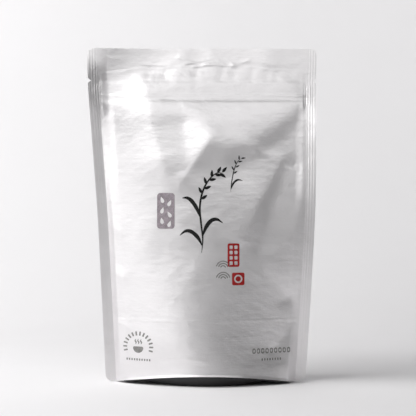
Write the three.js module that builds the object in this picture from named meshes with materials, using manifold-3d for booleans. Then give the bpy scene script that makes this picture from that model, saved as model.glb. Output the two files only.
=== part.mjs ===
// A sealed stand-up pouch of rice crackers: a satin white film pouch with a press-to-close zip
// inside its mouth, tear notches, and a black gusset film that bulges out below as its base.
// Millimetres, +Z up, the front faces -Y, the origin is on the surface it stands on, under the base.
// The pouch is shut, so it is one solid out to its film. The gusset is the second piece.
import * as THREE from "three";
import { mergeVertices } from "three/addons/utils/BufferGeometryUtils.js";
import Module from "manifold-3d";

const wasm = await Module();
wasm.setup();

// Driving dimensions
const FILM_WIDTH = 161.4; // the flat width of the pouch, seal edge to seal edge
const HEIGHT = 233.5;
const SIDE_SEAL = 7; // width of the welded band down each side
const WELD_LINE = 222.3; // lower edge of the top weld, at the middle
const WELD_BOW = 0.0011; // how the weld's lower edge falls towards the sides
const SEAL_THICK = 0.6; // two films welded together
const CORNER_RADIUS = 5;
const BASE_NARROWING = 11; // each side edge moves in by this at the base, as the gusset opens
const NARROWING_POWER = 1.1;
const TOP_LEAN = -2.4; // the top's sideways shift over the base
const LEAN_FROM = 100;
const LEAN_TO = 215;

// The closed top leans back over the belly, from BACK_FROM on and by the full slope from BACK_FULL
const BACK_SLOPE = 0.22;
const BACK_FROM = 175;
const BACK_FULL = 206;

// The closed zip, felt through the film as steps: how high each is, how far the film below it stands
// further out, and over how much height it does so
const ZIP_STEPS = [
  { at: 209.3, out: 0.25, over: 3.0 },
  { at: 200.6, out: 0.2, over: 1.1 },
  { at: 195.6, out: 0.2, over: 2.2 },
];
const ZIP_LOW = 190;

// Belly: below the zip the film opens as a wedge, then it widens slowly to the base
const BELLY_TOP = 198;
const WEDGE_SLOPE = 0.23;
const BODY_START = 5;
const BODY_SLOPE = 0.135;
const BELLY_TURN = 5; // how sharply the wedge turns into the body
// Across, it falls away from its crest to both seals
const CREST_SHIFT = -1;
const CREST_SOFT = 0.25; // share of the half width over which the crest is rounded
const LEFT_ROUNDNESS = 1.48;
const RIGHT_ROUNDNESS = 1.1;
const LEFT_FLANK_POWER = 0.86; // under 1 the film turns over more sharply beside its seal
// The left flank starts with a steeper rim, which fades out towards the zip and over the belly's crest
const RIM_HEIGHT = 3.2;
const RIM_WIDTH = 4.5;
const RIM_FADE_FROM = 95;
const RIM_FADE_TO = 180;
const RIM_REACH = 0.7;
// The right seal is drawn forwards by a share of the belly's depth, and its flank with it
const DRAWN_SHARE = 0.8;
const DRAWN_LOW = 0;
const DRAWN_FULL = 150;

// Where the folds may stand: clear of the side seals and below the top weld
const LEFT_OPENING = 0.15; // share of the half width over which they start at a seal
const RIGHT_OPENING = 0.11;
const ZIP_OPENING = 0.04;
const TOP_FADE = 10;

// Side seals curl: how far back they stand over the reach, or forwards where it is negative
const LEFT_CURL_FROM = 0.915; // share of the half width where it starts
const CURL_REACH = 0.2;
const CURL_SOFT = 0.05;
const LEFT_CURL = -1.2;
const LEFT_TOP_CURL = -4.2;
const RIGHT_LOW_CURL = 1.6;
const RIGHT_MIDDLE_CURL = -3.6;
// The top left corner bends forwards past a slanting line, and its tip bends back again
const CORNER_BENDS = [
  { x: -46, z: 206, by: -0.0034 },
  { x: -70, z: 226, by: 0.012 },
];

// Tear notches
const NOTCH_Z = 210;
const NOTCH_DEPTH = 2.2;
const NOTCH_HEIGHT = 1.6;

// Base
const BASE_LIFT = 7.3; // the film's lower edge arches this high at the middle
const LIFT_HALF_LENGTH = 70;
const LIFT_POWER = 1.3;
const LIFT_FADE = 34; // the arch dies out in the rows below this height
const GUSSET_HALF_LENGTH = 57;
const GUSSET_INSET = 0.6;
const GUSSET_GAP = 0.3;
const GUSSET_THICK = 0.4;
const GUSSET_END_POWER = 5; // the higher, the later its ends rise
const GUSSET_FLAT_SHARE = 0.1;
// It lies on the surface over an oval, and rises from there to the film's lower edge
const CONTACT_HALF_LENGTH = 43;
const CONTACT_HALF_DEPTH = 24;
const GUSSET_RISE_POWER = 1.5;

// Grid
const BODY_COLUMNS = 40;
const BODY_SPREAD = 1.2; // radians of a sine that sets the columns closer together beside the seals
const BODY_ROWS = 32;
const ZIP_ROWS = 12;
const ZIP_ROWS_TO = NOTCH_Z + 2;
const TOP_ROWS = 3;
const CORNER_ROWS = 4;
const GUSSET_COLUMNS = 26;
const GUSSET_ROWS = 14;
const LEAST_SEAL = 0.5; // keeps the seal's columns apart in the rounded corners
const WELD = 1e-4; // corners closer than this are one

const clamp = THREE.MathUtils.clamp;
const smooth = (from, to, value) => THREE.MathUtils.smoothstep(value, from, to);

// Outline: the middle and the half width of the pouch at a height
const middle = (z) => TOP_LEAN * smooth(LEAN_FROM, LEAN_TO, z);
const halfWidth = (z) =>
  FILM_WIDTH / 2 - BASE_NARROWING * Math.pow(clamp(1 - z / HEIGHT, 0, 1), NARROWING_POWER);
const openHalfWidth = (z) => halfWidth(z) - SIDE_SEAL;

// The same, with the rounded corners at the top and the base
function outlineHalfWidth(z) {
  const toEnd = Math.min(z, HEIGHT - z);
  const inside = Math.max(0, CORNER_RADIUS - toEnd);
  return halfWidth(z) - CORNER_RADIUS + Math.sqrt(CORNER_RADIUS ** 2 - inside ** 2);
}

// How far the belly's crest stands out: the lesser of the wedge and the body, rounded where they meet
function bellyDepth(z) {
  const below = Math.max(BELLY_TOP - z, 0.01);
  const wedge = WEDGE_SLOPE * below;
  const body = BODY_START + BODY_SLOPE * below;
  return Math.pow(wedge ** -BELLY_TURN + body ** -BELLY_TURN, -1 / BELLY_TURN);
}

// How far across a point lies: 0 on the belly's crest, -1 and 1 on the side seals' inner edges
function fromCrest(x, z) {
  const away = x - middle(z) - CREST_SHIFT;
  return away / (openHalfWidth(z) - Math.sign(away) * CREST_SHIFT);
}

// The share of the belly's depth that is lost at a point: 0 on its crest and 1 at the seals
function flankDrop(across) {
  const half = (across > 0 ? RIGHT_ROUNDNESS : LEFT_ROUNDNESS) / 2;
  const soft = CREST_SOFT ** 2;
  return Math.min(((across ** 2 + soft) ** half - soft ** half) / ((1 + soft) ** half - soft ** half), 1);
}

// The share of it that is left at a point
function bellyArch(x, z) {
  const across = fromCrest(x, z);
  return Math.pow(1 - flankDrop(across), across > 0 ? 1 : LEFT_FLANK_POWER);
}

// How far the left flank's rim stands out
function rimRelief(x, z) {
  const inside = x - middle(z) + openHalfWidth(z);
  const rim = smooth(0, RIM_WIDTH, inside) * (1 - smooth(-RIM_REACH, RIM_REACH, fromCrest(x, z)));
  return RIM_HEIGHT * rim * (1 - smooth(RIM_FADE_FROM, RIM_FADE_TO, z)) * smooth(0, LIFT_FADE, z);
}

// The film's main folds. A crest runs from start to end, [x, z], bowed aside by bow, and dies away past
// its ends over fade. It stands out by height, or dips where height is negative, and is rounded over
// soft. Its face on the left or below is widths[0] broad, and the one on the right or above widths[1].
const FRONT_FOLDS = [
  // the left column, and the shoulder between it and the cone
  { start: [-42, 199], end: [-31, 158], bow: 0, height: 3.0, widths: [19, 36], soft: 3, fade: [14, 20] },
  { start: [-16, 178], end: [-13, 150], bow: 0, height: -1.4, widths: [16, 11], soft: 3, fade: [9, 12] },
  // the cone
  { start: [2, 167], end: [-14, 143], bow: 0, height: 2.1, widths: [19, 10], soft: 1.5, fade: [12, 10] },
  // the arch from the cone to the zip's right end, and the valley below it
  { start: [14, 162], end: [64, 192], bow: -6, height: 1.4, widths: [14, 40], soft: 4, fade: [14, 8] },
  { start: [26, 154], end: [68, 188], bow: -4, height: -2.2, widths: [36, 9], soft: 4, fade: [14, 6] },
  // the blade, and the folds beside the right seal
  { start: [51, 151], end: [28, 106], bow: 0, height: 2.4, widths: [22, 12], soft: 2.5, fade: [6, 16] },
  { start: [54, 150], end: [38, 100], bow: 0, height: -2.4, widths: [12, 22], soft: 3, fade: [6, 16] },
  { start: [66, 114], end: [46, 88], bow: 2, height: 1.2, widths: [9, 14], soft: 3, fade: [12, 12] },
  { start: [66, 66], end: [58, 60], bow: 0, height: -1.4, widths: [5, 6], soft: 3, fade: [6, 8] },
  { start: [66, 52], end: [48, 24], bow: 0, height: -1.2, widths: [6, 8], soft: 3, fade: [6, 10] },
  // the base bulges at the right
  { start: [36, -8], end: [60, 12], bow: 0, height: 7, widths: [40, 18], soft: 14, fade: [20, 26] },
  // a soft dent on the left of the middle
  { start: [-28, 90], end: [-16, 87], bow: 0, height: -0.8, widths: [11, 11], soft: 6, fade: [11, 11] },
];
const BACK_FOLDS = [
  { start: [42, 210], end: [37, 150], bow: 0, height: 2.8, widths: [34, 13], soft: 4, fade: [9, 20] },
  { start: [-2, 172], end: [14, 140], bow: 0, height: 2.2, widths: [18, 10], soft: 2, fade: [8, 12] },
  { start: [-60, 190], end: [-4, 171], bow: -6, height: 1.8, widths: [9, 24], soft: 2, fade: [8, 10] },
  { start: [-62, 178], end: [-24, 152], bow: 0, height: -2.2, widths: [11, 10], soft: 5, fade: [6, 16] },
  { start: [-44, 140], end: [-30, 96], bow: 2, height: 1.8, widths: [8, 18], soft: 2, fade: [8, 14] },
  { start: [-60, 62], end: [-50, 30], bow: 0, height: -1.6, widths: [8, 7], soft: 3, fade: [6, 10] },
  { start: [8, 98], end: [4, 20], bow: 0, height: 1.6, widths: [50, 20], soft: 8, fade: [28, 18] },
  { start: [50, 116], end: [46, 74], bow: 0, height: -1.4, widths: [9, 9], soft: 4, fade: [9, 12] },
];
// Slow waves of the top seal, where both films move together
const SEAM_FOLDS = [
  { start: [-15, 234], end: [-15, 224], bow: 0, height: 0.8, widths: [16, 6], soft: 5, fade: [2, 9] },
  { start: [4, 234], end: [4, 224], bow: 0, height: 0.45, widths: [6, 7], soft: 3, fade: [2, 9] },
  { start: [45, 234], end: [45, 224], bow: 0, height: 1.2, widths: [16, 12], soft: 6, fade: [2, 9] },
];

// How far one fold stands out at x, z
function foldRelief({ start, end, bow, height, widths, soft, fade }, x, z) {
  const dx = end[0] - start[0];
  const dz = end[1] - start[1];
  const length = Math.hypot(dx, dz);
  const along = ((x - start[0]) * dx + (z - start[1]) * dz) / length;
  const t = clamp(along / length, 0, 1);
  const across = ((z - start[1]) * dx - (x - start[0]) * dz) / length - bow * 4 * t * (1 - t);
  const before = 1 / widths[0];
  const beyond = 1 / widths[1];
  const drop = ((beyond - before) * across + (beyond + before) * (Math.hypot(across, soft) - soft)) / 2;
  const early = Math.max(0, -along) / fade[0];
  const late = Math.max(0, along - length) / fade[1];
  return height * Math.exp(-drop - early ** 2 - late ** 2);
}

const reliefOf = (folds, x, z) => folds.reduce((sum, fold) => sum + foldRelief(fold, x, z), 0);

// How far the closed zip and the filled pouch below it push the film out
function zipDepth(z) {
  const stepOut = ({ at, out, over }) => out * (1 - smooth(at - over / 2, at + over / 2, z));
  return ZIP_STEPS.reduce((sum, step) => sum + stepOut(step), 0);
}

// How far the film stands out from the seal plane at x, z
function filmDepth(folds, x, z) {
  const share = Math.abs(x - middle(z)) / openHalfWidth(z);
  if (share >= 1) return SEAL_THICK / 2;
  const weldLine = WELD_LINE - WELD_BOW * x ** 2;
  const opening = x < middle(z) ? LEFT_OPENING : RIGHT_OPENING;
  const opened = smooth(0, opening, 1 - share) * (1 - smooth(weldLine - TOP_FADE, weldLine, z));
  // The zip is clamped right up to the side seals
  const clamped = smooth(0, ZIP_OPENING, 1 - share);
  const zipped = clamped + (opened - clamped) * (1 - smooth(ZIP_LOW - 6, ZIP_LOW + 4, z));
  const relief = opened * reliefOf(folds, x, z) + zipped * zipDepth(z) + rimRelief(x, z);
  return SEAL_THICK / 2 + Math.max(0, bellyDepth(z) * bellyArch(x, z) + relief);
}

// How far back the side seals are curled: forwards beside the zip, and the right one backwards low down
function curlAt(side, z) {
  const past = (Math.abs(side) - (side < 0 ? LEFT_CURL_FROM : 1)) / CURL_REACH;
  const out = (past + Math.hypot(past, CURL_SOFT)) / 2;
  const left = LEFT_CURL + LEFT_TOP_CURL * smooth(178, 202, z) * (1 - 0.8 * smooth(214, 230, z));
  const low = RIGHT_LOW_CURL * (1 - smooth(150, 190, z));
  const right = low + RIGHT_MIDDLE_CURL * smooth(95, 135, z) * (1 - smooth(165, 210, z));
  return out * (side < 0 ? left : right);
}

// How far back both films and the weld between them lie from the plane of the pouch's middle
function seamShift(x, z) {
  const span = BACK_FULL - BACK_FROM;
  const t = clamp((z - BACK_FROM) / span, 0, 1);
  const lean = BACK_SLOPE * (span * (t ** 3 - t ** 4 / 2) + Math.max(0, z - BACK_FULL));
  const across = fromCrest(x, z);
  const drawn = across > 0 ? DRAWN_SHARE * smooth(DRAWN_LOW, DRAWN_FULL, z) * flankDrop(across) : 0;
  const past = (bend) => Math.max(0, (z - bend.z - (x - bend.x)) / Math.SQRT2);
  const bent = CORNER_BENDS.reduce((sum, bend) => sum + bend.by * past(bend) ** 2, 0);
  const side = (x - middle(z)) / openHalfWidth(z);
  return lean + bent + curlAt(side, z) - drawn * bellyDepth(z) - reliefOf(SEAM_FOLDS, x, z);
}

// The film's lower edge arches up between the corners
const lift = (x) => BASE_LIFT * Math.pow(Math.max(0, 1 - (x / LIFT_HALF_LENGTH) ** 2), LIFT_POWER);

// Row heights: close together round the corners and over the zip
function rowHeights() {
  const rows = [];
  const quarter = (i) => (i / CORNER_ROWS) * (Math.PI / 2);
  const spread = (from, to, count) => {
    for (let i = 0; i < count; i++) rows.push(from + ((to - from) * i) / count);
  };
  for (let i = 0; i < CORNER_ROWS; i++) rows.push(CORNER_RADIUS * (1 - Math.cos(quarter(i))));
  spread(CORNER_RADIUS, ZIP_LOW, BODY_ROWS);
  spread(ZIP_LOW, ZIP_ROWS_TO, ZIP_ROWS);
  const topFrom = HEIGHT - CORNER_RADIUS;
  spread(ZIP_ROWS_TO, topFrom, TOP_ROWS);
  for (let i = 0; i <= CORNER_ROWS; i++) rows.push(topFrom + CORNER_RADIUS * Math.sin(quarter(i)));
  return rows;
}

// Column places across a row: the seal edges, the seal lines, and the body between
function columnXs(z) {
  const outer = outlineHalfWidth(z);
  const inner = Math.min(openHalfWidth(z), outer - LEAST_SEAL);
  const xs = [-outer];
  for (let i = 0; i <= BODY_COLUMNS; i++) {
    const across = (2 * i) / BODY_COLUMNS - 1;
    xs.push((inner * Math.sin(across * BODY_SPREAD)) / Math.sin(BODY_SPREAD));
  }
  xs.push(outer);
  return xs.map((x) => middle(z) + x);
}

// One face of the film as rows of points, the front with facing -1 and the back with facing 1
function filmRows(folds, facing) {
  return rowHeights().map((row) =>
    columnXs(row).map((x) => {
      const z = row + lift(x) * (1 - smooth(0, LIFT_FADE, row));
      return [x, seamShift(x, row) + facing * filmDepth(folds, x, row), z];
    }),
  );
}

// A closed surface between two grids of points that face away from each other
function shellBetween(front, back) {
  const rows = front.length;
  const columns = front[0].length;
  const corners = [];
  const quad = (a, b, c, d) => corners.push(a, b, c, a, c, d);
  for (let r = 0; r + 1 < rows; r++) {
    for (let c = 0; c + 1 < columns; c++) {
      quad(front[r][c], front[r][c + 1], front[r + 1][c + 1], front[r + 1][c]);
      quad(back[r][c + 1], back[r][c], back[r + 1][c], back[r + 1][c + 1]);
    }
    quad(back[r][0], front[r][0], front[r + 1][0], back[r + 1][0]);
    const e = columns - 1;
    quad(front[r][e], back[r][e], back[r + 1][e], front[r + 1][e]);
  }
  for (let c = 0; c + 1 < columns; c++) {
    quad(back[0][c], back[0][c + 1], front[0][c + 1], front[0][c]);
    const t = rows - 1;
    quad(front[t][c], front[t][c + 1], back[t][c + 1], back[t][c]);
  }
  const geometry = new THREE.BufferGeometry();
  geometry.setAttribute("position", new THREE.Float32BufferAttribute(corners.flat(), 3));
  return geometry;
}

function toSolid(geometry) {
  const bare = new THREE.BufferGeometry();
  const loose = geometry.index ? geometry.toNonIndexed() : geometry;
  bare.setAttribute("position", loose.getAttribute("position"));
  const merged = mergeVertices(bare, WELD);
  return new wasm.Manifold(
    new wasm.Mesh({
      numProp: 3,
      vertProperties: merged.attributes.position.array,
      triVerts: new Uint32Array(merged.index.array),
    }),
  );
}

function fromSolid(solid) {
  const { vertProperties, triVerts } = solid.getMesh();
  const geometry = new THREE.BufferGeometry();
  geometry.setAttribute("position", new THREE.BufferAttribute(vertProperties, 3));
  geometry.setIndex(new THREE.BufferAttribute(triVerts, 1));
  geometry.computeVertexNormals();
  return geometry;
}

// A V-shaped cutter at one side seal, for tearing the top off
function notchCutter(side) {
  const edge = middle(NOTCH_Z) + side * halfWidth(NOTCH_Z);
  const outline = new THREE.Shape([
    new THREE.Vector2(edge - side * NOTCH_DEPTH, NOTCH_Z),
    new THREE.Vector2(edge + side, NOTCH_Z - NOTCH_HEIGHT),
    new THREE.Vector2(edge + side, NOTCH_Z + NOTCH_HEIGHT),
  ]);
  const depth = 10 * SEAL_THICK;
  const cutter = new THREE.ExtrudeGeometry(outline, { depth, bevelEnabled: false });
  return cutter.rotateX(Math.PI / 2).translate(0, seamShift(edge, NOTCH_Z) + depth / 2, 0);
}

function pouchGeometry() {
  const shell = toSolid(shellBetween(filmRows(FRONT_FOLDS, -1), filmRows(BACK_FOLDS, 1)));
  const notched = [-1, 1].reduce((solid, side) => solid.subtract(toSolid(notchCutter(side))), shell);
  return fromSolid(notched);
}

// The gusset film bulges out below the pouch, and lies flat on the surface under the middle.
// Its top follows the arched lower edge, just clear of it.
function gussetGeometry() {
  const top = [];
  const under = [];
  for (let r = 0; r <= GUSSET_ROWS; r++) {
    const across = -Math.cos((r / GUSSET_ROWS) * Math.PI);
    const topRow = [];
    const underRow = [];
    for (let c = 0; c <= GUSSET_COLUMNS; c++) {
      const x = -GUSSET_HALF_LENGTH * Math.cos((c / GUSSET_COLUMNS) * Math.PI);
      const folds = across < 0 ? FRONT_FOLDS : BACK_FOLDS;
      const reach = filmDepth(folds, x, 0) - GUSSET_INSET;
      const rise = lift(x) - GUSSET_GAP;
      const toEnd = (Math.abs(x) / GUSSET_HALF_LENGTH) ** GUSSET_END_POWER;
      const contact = CONTACT_HALF_DEPTH * Math.max(0, 1 - (x / CONTACT_HALF_LENGTH) ** 2);
      const past = clamp((Math.abs(across) * reach - contact) / (reach - contact), 0, 1);
      const bulged = 1 - (1 - past ** GUSSET_RISE_POWER) * (1 - toEnd);
      const hung = Math.max(0, (bulged - GUSSET_FLAT_SHARE) / (1 - GUSSET_FLAT_SHARE));
      topRow.push([x, across * reach, rise]);
      underRow.push([x, across * reach, (rise - GUSSET_THICK) * hung]);
    }
    top.push(topRow);
    under.push(underRow);
  }
  return fromSolid(toSolid(shellBetween(top, under)));
}

const pouchFilm = new THREE.MeshStandardMaterial({ color: 0xd9d9db, roughness: 0.42, metalness: 0.35 });
const gussetFilm = new THREE.MeshStandardMaterial({ color: 0x2b2b2c, roughness: 0.5, metalness: 0 });

function named(name, geometry, material) {
  const mesh = new THREE.Mesh(geometry, material);
  mesh.name = name;
  return mesh;
}

const pouch = new THREE.Group();
pouch.add(named("pouch", pouchGeometry(), pouchFilm));
pouch.add(named("gusset", gussetGeometry(), gussetFilm));

export default pouch;
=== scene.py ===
"""A filled, sealed stand-up pouch: satin pearl film over foil, a press-to-close zip, a black gusset base
and a light print, on a pale studio sweep.

The film's form is worked out in millimetres, in the frame of the CAD part: +Z up, the front faces -Y.
"""
import math

import bmesh
import bpy
import numpy as np
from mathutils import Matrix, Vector


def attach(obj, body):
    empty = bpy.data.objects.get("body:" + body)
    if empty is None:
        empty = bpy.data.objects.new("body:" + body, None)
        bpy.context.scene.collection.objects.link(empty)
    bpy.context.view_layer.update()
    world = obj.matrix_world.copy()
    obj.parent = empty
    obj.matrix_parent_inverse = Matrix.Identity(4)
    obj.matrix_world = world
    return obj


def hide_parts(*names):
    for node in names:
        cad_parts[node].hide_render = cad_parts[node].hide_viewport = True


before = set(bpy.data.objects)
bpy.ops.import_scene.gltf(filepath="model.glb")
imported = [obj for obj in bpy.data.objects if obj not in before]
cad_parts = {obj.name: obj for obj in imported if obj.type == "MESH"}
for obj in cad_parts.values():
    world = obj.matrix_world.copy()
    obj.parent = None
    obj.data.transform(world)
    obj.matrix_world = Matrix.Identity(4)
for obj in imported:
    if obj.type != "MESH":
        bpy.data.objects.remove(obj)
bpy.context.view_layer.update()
MM = 0.001  # a millimetre in Blender's metres

# The pouch, in millimetres
FILM_WIDTH = 161.4  # the flat width of the pouch, seal edge to seal edge
HEIGHT = 233.5
SIDE_SEAL = 7
SEAL_THICK = 0.6
CORNER_RADIUS = 5
BASE_NARROWING = 11  # each side edge moves in by this at the base, as the gusset opens
NARROWING_POWER = 1.1
TOP_LEAN = -2.4  # the top stands this far aside of the base
LEAN_FROM, LEAN_TO = 100, 215

# The closed top leans back over the belly
BACK_SLOPE = 0.22
BACK_FROM, BACK_FULL = 175, 206

# The closed zip, felt through the film as steps: each is a height, how far the film below it stands
# further out, and over how much height it does so
ZIP_STEPS = [(209.3, 0.25, 3.0), (200.6, 0.2, 1.1), (195.6, 0.2, 2.2)]
ZIP_OPENING = 0.04  # the share of the half width over which it starts at a seal
ZIP_FOOT = (184, 194)  # down over these heights the film opens as softly as its folds do
# Its ends are crushed flat into the side seals, with upright teeth
CRUSH_LOW, CRUSH_HIGH = 192, 208
CRUSH_ENDS = 2  # the teeth rise over this height at their ends
CRUSH_MIDDLE = 1  # they lie round a line this far past the seal's inner edge
CRUSH_FULL, CRUSH_HALF_WIDTH = 1.35, 3.6
CRUSH_HEIGHT = 0.24
CRUSH_PITCH = 1.7

# The top weld's lower edge is bowed and wavy, and the free film between it and the zip has upright flutes
WELD_LINE = 222.3
WELD_BOW = 0.0011
WELD_WAVES = [(0.5, 4.3, 0.0), (0.4, 9.7, 1.2)]  # height, length over a radian, phase
WELD_FADE = 10  # the folds and the belly die away over this height below the weld
FREE_FILM = 0.14
FREE_EDGE = (-1.6, 0.2)  # the heights over the weld's edge between which the free film sinks to it
FLUTES = [(-53, 0.06), (-41, 0.12), (-28.6, 0.13), (-16, 0.1), (-7.7, 0.2), (11, 0.22), (19.5, 0.16), (32, 0.2),
          (43, 0.22), (49.5, 0.18), (59, 0.1)]  # place and depth
FLUTES_AT = 214.3  # their places hold at this height, and they slant from there
FLUTE_WIDTH = 2.8
FLUTE_SLANT = 0.22
FLUTE_FOOT = (208.3, 211.3)
FLUTE_HEAD = -3.5  # they run out over this height below the weld

# The belly: below the zip the film opens as a wedge, then it widens slowly to the base
BELLY_TOP = 198
WEDGE_SLOPE = 0.23
BODY_START, BODY_SLOPE = 5, 0.135
BELLY_TURN = 5  # how sharply the wedge turns into the body
# Across, it falls away from its crest to both seals
CREST_SHIFT = -1
CREST_SOFT = 0.25
LEFT_ROUNDNESS, RIGHT_ROUNDNESS = 1.48, 1.1
LEFT_FLANK_POWER = 0.86
# The right seal is drawn forwards by a share of the belly's depth, more and more up to some height
DRAWN_SHARE = 0.8
DRAWN_LOW, DRAWN_FULL = 0, 150
LEFT_OPENING, RIGHT_OPENING = 0.15, 0.11  # the share of the half width over which folds start at a seal
# The left flank starts with a steeper rim, which fades out across the crest and towards the zip
RIM_HEIGHT, RIM_WIDTH = 3.2, 4.5
RIM_REACH = 0.7
RIM_FADE = (95, 180)
# The side seals curl back, or forwards below nought, past a hinge that is told as a share of the half width.
# A curl is how far a point moves that lies the reach past the hinge
LEFT_HINGE, RIGHT_HINGE = 0.915, 1
CURL_REACH = 0.2
CURL_SOFT = 0.05
LEFT_CURL, LEFT_TOP_CURL = -1.2, -4.2
LEFT_TOP_RISE, LEFT_TOP_FALL = (178, 202), (214, 230)
LEFT_TOP_LOSS = 0.8
RIGHT_LOW_CURL, RIGHT_MIDDLE_CURL = 1.6, -3.6
RIGHT_LOW_FALL = (150, 190)
RIGHT_MIDDLE_RISE, RIGHT_MIDDLE_FALL = (95, 135), (165, 210)

# Tear notches
NOTCH_Z = 210
NOTCH_DEPTH = 2.2
NOTCH_HEIGHT = 1.6

# The base. The film's lower edge arches up in the middle, less and less towards a height
BASE_LIFT = 7.3
LIFT_HALF_LENGTH = 70
LIFT_POWER = 1.3
LIFT_FADE = 34
GUSSET_HALF_LENGTH = 57
GUSSET_INSET = 0.6
GUSSET_GAP = 0.3
GUSSET_THICK = 0.4
GUSSET_END_POWER = 5  # the higher, the later its ends rise
GUSSET_FLAT_SHARE = 0.1
# The gusset lies on the table over an oval, and rises from there to the film's lower edge
CONTACT_HALF_LENGTH, CONTACT_HALF_DEPTH = 43, 24
GUSSET_RISE_POWER = 1.5
GUSSET_CREASE = 0.5  # the middle crease of the opened gusset still stands up a little
GUSSET_CREASE_WIDTH = 2.5
GUSSET_COLUMNS, GUSSET_ROWS = 96, 48

# The film's main folds. A crest runs from start to end, bowed aside by bow, and dies away past its ends
# over fade. widths says how broad its face is on the left or below, then on the right or above.
FRONT_FOLDS = [
    # the left column, and the dent between it and the cone
    dict(start=(-42, 199), end=(-31, 158), height=3.0, widths=(19, 36), soft=3, fade=(14, 20)),
    dict(start=(-16, 178), end=(-13, 150), height=-1.4, widths=(16, 11), soft=3, fade=(9, 12)),
    # the cone, with its shaded right face
    dict(start=(2, 167), end=(-14, 143), height=2.1, widths=(19, 10), soft=1.5, fade=(12, 10)),
    # the arch from the cone to the zip's right end, and the valley below it
    dict(start=(14, 162), end=(64, 192), bow=-6, height=1.4, widths=(14, 40), soft=4, fade=(14, 8)),
    dict(start=(26, 154), end=(68, 188), bow=-4, height=-2.2, widths=(36, 9), soft=4, fade=(14, 6)),
    # the blade, and the folds beside the right seal
    dict(start=(51, 151), end=(28, 106), height=2.4, widths=(22, 12), soft=2.5, fade=(6, 16)),
    dict(start=(54, 150), end=(38, 100), height=-2.4, widths=(12, 22), soft=3, fade=(6, 16)),
    dict(start=(66, 114), end=(46, 88), bow=2, height=1.2, widths=(9, 14), soft=3, fade=(12, 12)),
    dict(start=(66, 66), end=(58, 60), height=-1.4, widths=(5, 6), soft=3, fade=(6, 8)),
    dict(start=(66, 52), end=(48, 24), height=-1.2, widths=(6, 8), soft=3, fade=(6, 10)),
    # the base bulges at the right
    dict(start=(36, -8), end=(60, 12), height=7, widths=(40, 18), soft=14, fade=(20, 26)),
    # a soft dent on the left of the middle
    dict(start=(-28, 90), end=(-16, 87), height=-0.8, widths=(11, 11), soft=6, fade=(11, 11)),
]
BACK_FOLDS = [
    dict(start=(42, 210), end=(37, 150), height=2.8, widths=(34, 13), soft=4, fade=(9, 20)),
    dict(start=(-2, 172), end=(14, 140), height=2.2, widths=(18, 10), soft=2, fade=(8, 12)),
    dict(start=(-60, 190), end=(-4, 171), bow=-6, height=1.8, widths=(9, 24), soft=2, fade=(8, 10)),
    dict(start=(-62, 178), end=(-24, 152), height=-2.2, widths=(11, 10), soft=5, fade=(6, 16)),
    dict(start=(-44, 140), end=(-30, 96), bow=2, height=1.8, widths=(8, 18), soft=2, fade=(8, 14)),
    dict(start=(-60, 62), end=(-50, 30), height=-1.6, widths=(8, 7), soft=3, fade=(6, 10)),
    dict(start=(8, 98), end=(4, 20), height=1.6, widths=(50, 20), soft=8, fade=(28, 18)),
    dict(start=(50, 116), end=(46, 74), height=-1.4, widths=(9, 9), soft=4, fade=(9, 12)),
]
# Slow waves of the top seal, where both films move together
SEAM_FOLDS = [
    dict(start=(-15, 234), end=(-15, 224), height=0.8, widths=(16, 6), soft=5, fade=(2, 9)),
    dict(start=(4, 234), end=(4, 224), height=0.45, widths=(6, 7), soft=3, fade=(2, 9)),
    dict(start=(45, 234), end=(45, 224), height=1.2, widths=(16, 12), soft=6, fade=(2, 9)),
]
# The top left corner bends forwards past a slanting line through a point, and its tip bends back again
BENT_THROUGH, BENT_BY = (-46, 206), 0.0034
TIP_THROUGH, TIP_BY = (-70, 226), 0.012
# Small creases of the front, told as folds are: how they start and end, and how high and broad they are
CREASES = [
    # across the middle of the top weld
    dict(start=(-19, 227), end=(-9, 223), height=0.2, width=0.8),
    dict(start=(-14, 222.5), end=(3, 226), height=0.22, width=0.8),
    dict(start=(-8, 220.5), end=(8, 223.5), height=0.26, width=0.9),
    dict(start=(0, 222), end=(21, 221.2), height=0.26, width=1.0),
    dict(start=(6, 227), end=(12, 223), height=0.16, width=0.7),
    dict(start=(14, 226), end=(19, 222.5), height=0.16, width=0.7),
    dict(start=(19, 221.5), end=(30, 225), height=0.2, width=0.8),
    dict(start=(-44, 222), end=(-26, 221), height=0.12, width=1.3),
    # below the zip
    dict(start=(-15.4, 192), end=(-4.2, 188.6), height=0.15, width=0.8),
    dict(start=(-43, 187), end=(-37.5, 181), height=0.13, width=0.8),
    dict(start=(30, 189), end=(38, 186), height=0.08, width=0.9),
    # across the belly
    dict(start=(12.6, 104.6), end=(28, 98.6), height=0.12, width=0.9),
    dict(start=(26.6, 98.4), end=(50.3, 95.6), height=0.1, width=0.9),
    dict(start=(26.6, 80.7), end=(37.7, 73.7), height=0.12, width=1.0),
    dict(start=(-26.5, 90.4), end=(-15.4, 87.9), height=0.14, width=1.4),
    dict(start=(-30, 62), end=(-22, 60), height=0.08, width=1.2),
    # over the base
    dict(start=(-25, 47.6), end=(-12.5, 45.2), height=0.12, width=0.9),
    dict(start=(-23.8, 16.6), end=(-1.4, 12.2), height=0.18, width=1.5),
    dict(start=(30, 22), end=(44, 18), height=0.1, width=1.4),
    # beside the left seal
    dict(start=(-67, 77), end=(-58, 73.6), height=0.7, width=2.6),
    dict(start=(-66, 44), end=(-56, 40), height=0.6, width=2.4),
    dict(start=(-68, 110), end=(-62, 106), height=0.4, width=2.4),
]
# The line pressed round the film where the folded gusset ends inside
PRESSED_Z = 44
PRESSED_HEIGHT = 0.12
PRESSED_WIDTH = 0.55
# The film flares out at its cut lower edge, but not at the edge's ends
HEM_FLARE = 0.45
HEM_HEIGHT = 1.6
HEM_ENDS = 0.9

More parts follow.
